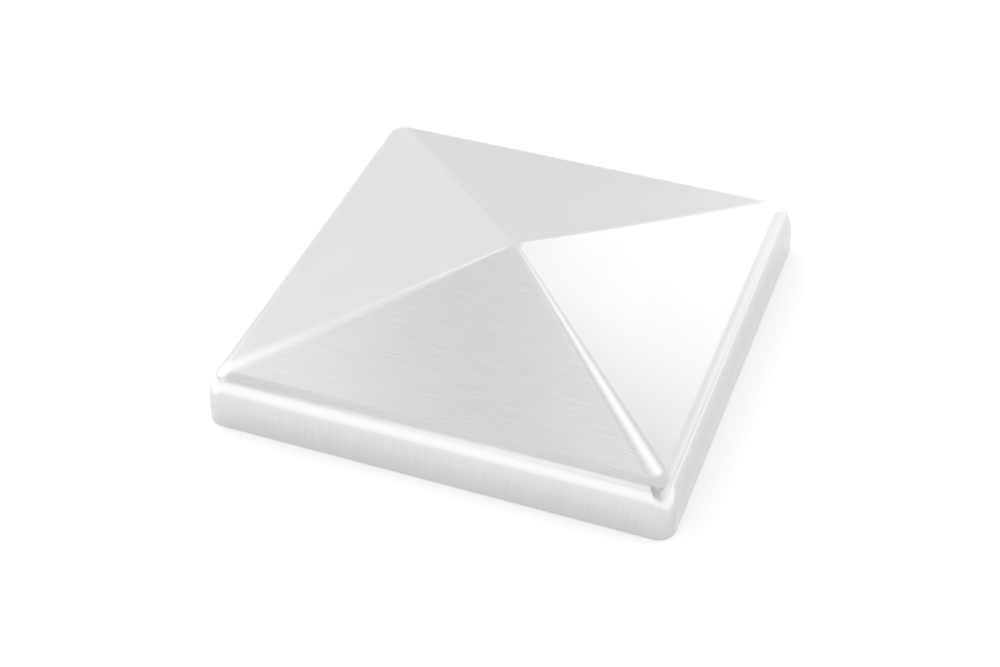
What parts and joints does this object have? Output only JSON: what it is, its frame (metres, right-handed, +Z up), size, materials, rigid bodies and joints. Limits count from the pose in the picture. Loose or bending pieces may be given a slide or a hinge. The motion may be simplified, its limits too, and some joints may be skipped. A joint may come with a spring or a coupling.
{
  "type": "post cap",
  "caption": "Square post cap in brushed stainless steel: a low pyramid with a rounded rim and a short skirt that slips over the end of a post.",
  "frame": {"origin": "middle of the open underside, in the plane of the skirt's edge", "axes": "+Z up along the post's axis, through the pyramid's tip; +X and +Y square to the sides, the front side faces -Y"},
  "size_m": [0.093, 0.093, 0.0214],
  "materials": {
    "brushed_steel": "brushed along each side, with the skirt brushed upright"
  },
  "bodies": {
    "root": {"post_cap": "brushed_steel"}
  },
  "joints": []
}
